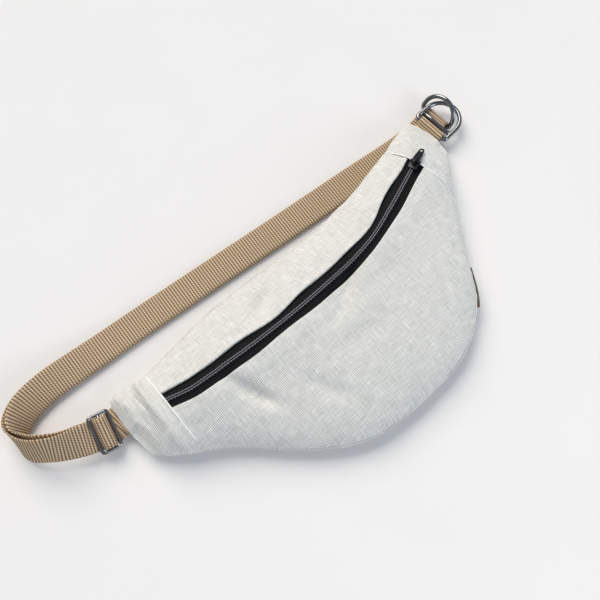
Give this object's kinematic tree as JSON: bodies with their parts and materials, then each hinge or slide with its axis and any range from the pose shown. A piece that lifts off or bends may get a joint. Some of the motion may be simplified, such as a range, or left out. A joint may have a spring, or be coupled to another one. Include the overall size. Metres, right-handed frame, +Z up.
{
  "type": "hip bag",
  "caption": "Natural linen hip bag with a curved zipped pouch, sewn end cuffs, and a webbing waist strap with a slide adjuster and linked rings.",
  "frame": {"origin": "under the middle of the whole part's box, on the surface that it lies on", "axes": "+X along the bag towards the end with the rings, +Y towards the waist edge, +Z up out of the front"},
  "size_m": [0.4532, 0.2212, 0.0441],
  "materials": {
    "linen": "plain-woven natural linen, matte",
    "zip_tape": "black woven tape",
    "zip_coil": "black nylon coil",
    "zip_metal": "black lacquered metal",
    "webbing": "ribbed tan webbing",
    "gunmetal": "polished dark gunmetal plating",
    "tag": "plain dark brown woven tag"
  },
  "bodies": {
    "bag": {"front_upper_panel": "linen", "front_lower_panel": "linen", "back_panel": "linen", "left_cuff": "linen", "right_cuff": "linen", "zip_tape_upper": "zip_tape", "zip_tape_lower": "zip_tape", "zip_coil": "zip_coil", "zip_slider": "zip_metal", "strap": "webbing", "ring_tab": "webbing", "bag_ring": "gunmetal", "strap_ring": "gunmetal", "adjuster_slide": "gunmetal", "side_tag": "tag"},
    "puller": {"zip_puller": "zip_metal"}
  },
  "joints": [
    {"name": "puller_hinge", "type": "hinge", "parent": "bag", "child": "puller", "pos_m": [0.15077, 0.0278, 0.036], "axis": [0.3336, -0.9364, 0.109], "range_deg": [0, 150]}
  ]
}
